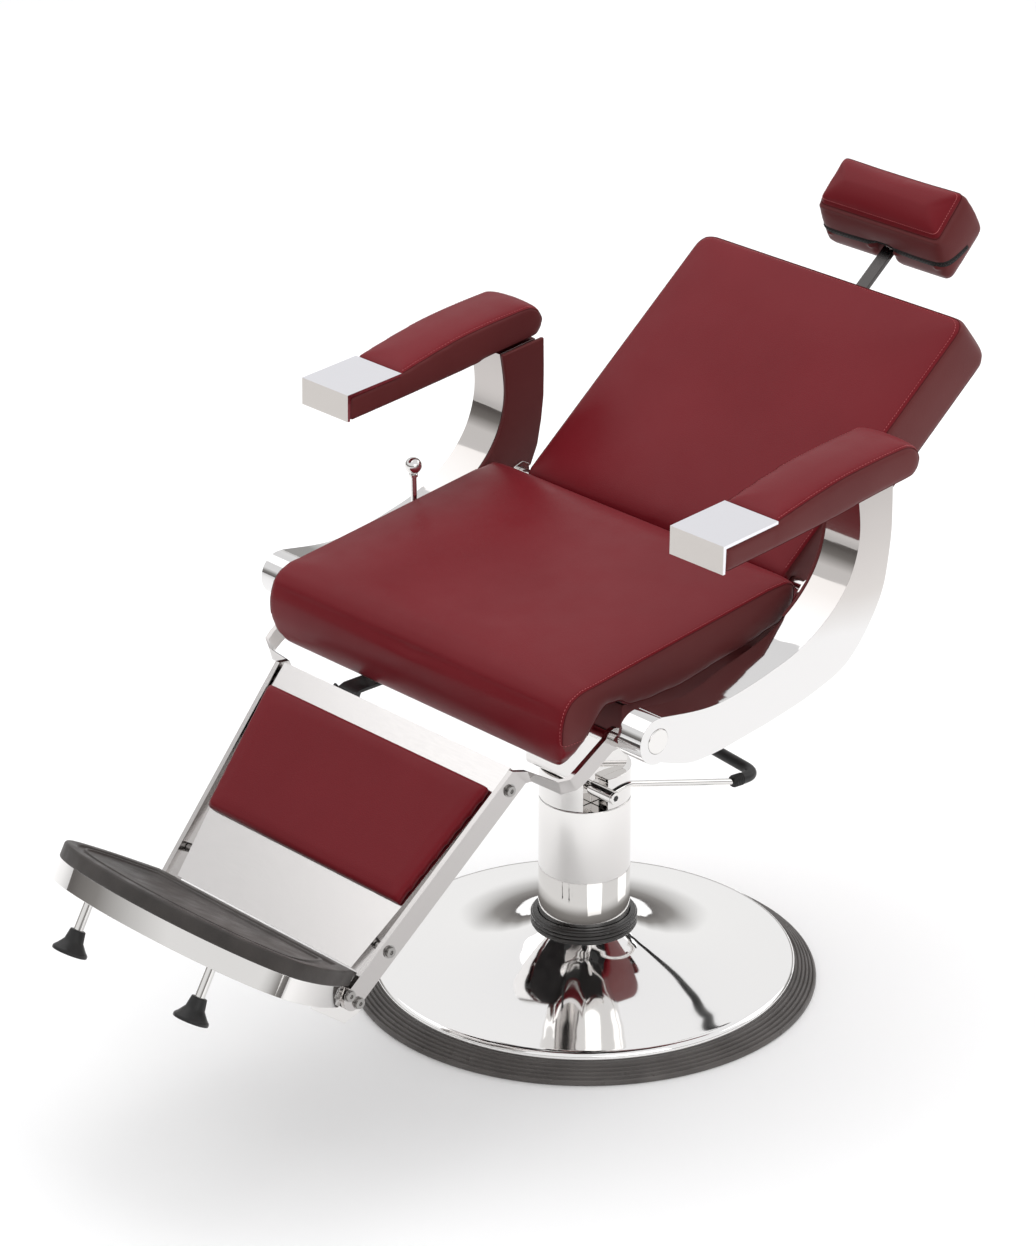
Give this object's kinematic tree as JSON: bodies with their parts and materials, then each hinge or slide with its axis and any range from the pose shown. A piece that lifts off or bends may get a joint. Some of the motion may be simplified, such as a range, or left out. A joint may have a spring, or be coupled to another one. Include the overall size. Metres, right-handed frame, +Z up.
{
  "type": "hydraulic barber chair",
  "caption": "Reclining hydraulic barber chair with round base, pump column, swivel, curved chrome arms, headrest and swinging legrest with footplate.",
  "frame": {"origin": "centre of the round base on the floor", "axes": "+Z up, the chair faces -Y, +X to the sitter's left"},
  "size_m": [0.7512, 1.3508, 0.9503],
  "materials": {
    "ring_rubber": "ribbed satin",
    "chrome": "mirror",
    "frame_steel": "satin black",
    "pump_steel": "machined",
    "base_iron": "painted",
    "upholstery": "grained vinyl over foam",
    "seat_board": "covered plywood",
    "mat_rubber": "matt, moulded",
    "black_rubber": "satin",
    "zip_tape": "woven"
  },
  "bodies": {
    "base": {"base_ring": "ring_rubber", "base_plate": "base_iron", "base_dome": "chrome", "column_collar": "chrome", "pump_cylinder": "pump_steel"},
    "lift": {"ram": "pump_steel", "column_cover": "chrome"},
    "swivel": {"swivel_head": "chrome", "carrier": "chrome", "tilt_pin": "pump_steel", "lever_pin": "chrome"},
    "pump_lever": {"lever_sleeve": "chrome", "lever_rod": "chrome", "lever_grip": "black_rubber"},
    "seat": {"seat_cushion": "upholstery", "seat_base": "seat_board", "seat_frame": "frame_steel", "pivot_tube": "chrome", "arm_beam": "frame_steel", "arm_casting_l": "chrome", "arm_casting_r": "chrome", "hub_cap_l": "chrome", "hub_cap_r": "chrome", "arm_panel_l": "upholstery", "arm_panel_r": "upholstery", "arm_pad_l": "upholstery", "arm_pad_r": "upholstery", "arm_cap_l": "chrome", "arm_cap_r": "chrome", "hinge_bracket_l": "chrome", "hinge_bracket_r": "chrome", "recline_pin": "pump_steel"},
    "recline_lever": {"recline_rod": "chrome", "recline_knob": "chrome"},
    "back": {"back_cushion": "upholstery", "back_rod": "pump_steel", "headrest_socket": "frame_steel"},
    "headrest_stem": {"headrest_bar": "chrome"},
    "headrest": {"headrest_cushion": "upholstery", "headrest_zip": "zip_tape", "headrest_knuckle": "frame_steel"},
    "legrest": {"leg_rail_l": "chrome", "leg_rail_r": "chrome", "leg_panel": "chrome", "calf_pad": "upholstery", "rail_screws": "chrome", "link_bracket": "frame_steel", "foot_mat": "mat_rubber", "foot_tray": "chrome", "foot_bolts": "chrome", "foot_post_l": "chrome", "foot_post_r": "chrome", "foot_pad_l": "black_rubber", "foot_pad_r": "black_rubber"},
    "drive_link": {"drive_link": "chrome"}
  },
  "joints": [
    {"name": "lift_slide", "type": "slide", "parent": "base", "child": "lift", "axis": [0, 0, 1], "range_m": [0, 0.15]},
    {"name": "swivel_turn", "type": "hinge", "parent": "lift", "child": "swivel", "pos_m": [0, 0, 0.27], "axis": [0, 0, 1], "continuous": true},
    {"name": "pump_lever_hinge", "type": "hinge", "parent": "swivel", "child": "pump_lever", "pos_m": [0.06, -0.03, 0.29], "axis": [1, 0, 0], "range_deg": [-14, 4], "stiffness_Nm_per_rad": 25, "springref_deg": 1.15},
    {"name": "seat_tilt", "type": "hinge", "parent": "swivel", "child": "seat", "pos_m": [0, -0.02, 0.42], "axis": [1, 0, 0], "range_deg": [-7.3, 0]},
    {"name": "recline_lever_hinge", "type": "hinge", "parent": "seat", "child": "recline_lever", "pos_m": [-0.273, -0.042, 0.518], "axis": [1, 0, 0], "range_deg": [-20, 0], "stiffness_Nm_per_rad": 2, "springref_deg": 1.15},
    {"name": "back_recline", "type": "hinge", "parent": "seat", "child": "back", "pos_m": [0, 0.13, 0.584], "axis": [1, 0, 0], "range_deg": [0, 45]},
    {"name": "headrest_height", "type": "slide", "parent": "back", "child": "headrest_stem", "axis": [0, 0.7826, 0.6225], "range_m": [-0.02, 0.06]},
    {"name": "headrest_tilt", "type": "hinge", "parent": "headrest_stem", "child": "headrest", "pos_m": [0, 0.55732, 0.87407], "axis": [1, 0, 0], "range_deg": [-15, 15]},
    {"name": "legrest_swing", "type": "hinge", "parent": "seat", "child": "legrest", "pos_m": [0, -0.2195, 0.499], "axis": [1, 0, 0], "range_deg": [0, 36]},
    {"name": "link_pivot", "type": "hinge", "parent": "legrest", "child": "drive_link", "pos_m": [-0.1, -0.306, 0.45], "axis": [1, 0, 0], "range_deg": [-36, 0]}
  ],
  "couplings": [
    {"joint": "seat_tilt", "follows": "back_recline", "ratio": -0.162},
    {"joint": "legrest_swing", "follows": "back_recline", "ratio": 0.8},
    {"joint": "link_pivot", "follows": "back_recline", "ratio": -0.8}
  ]
}
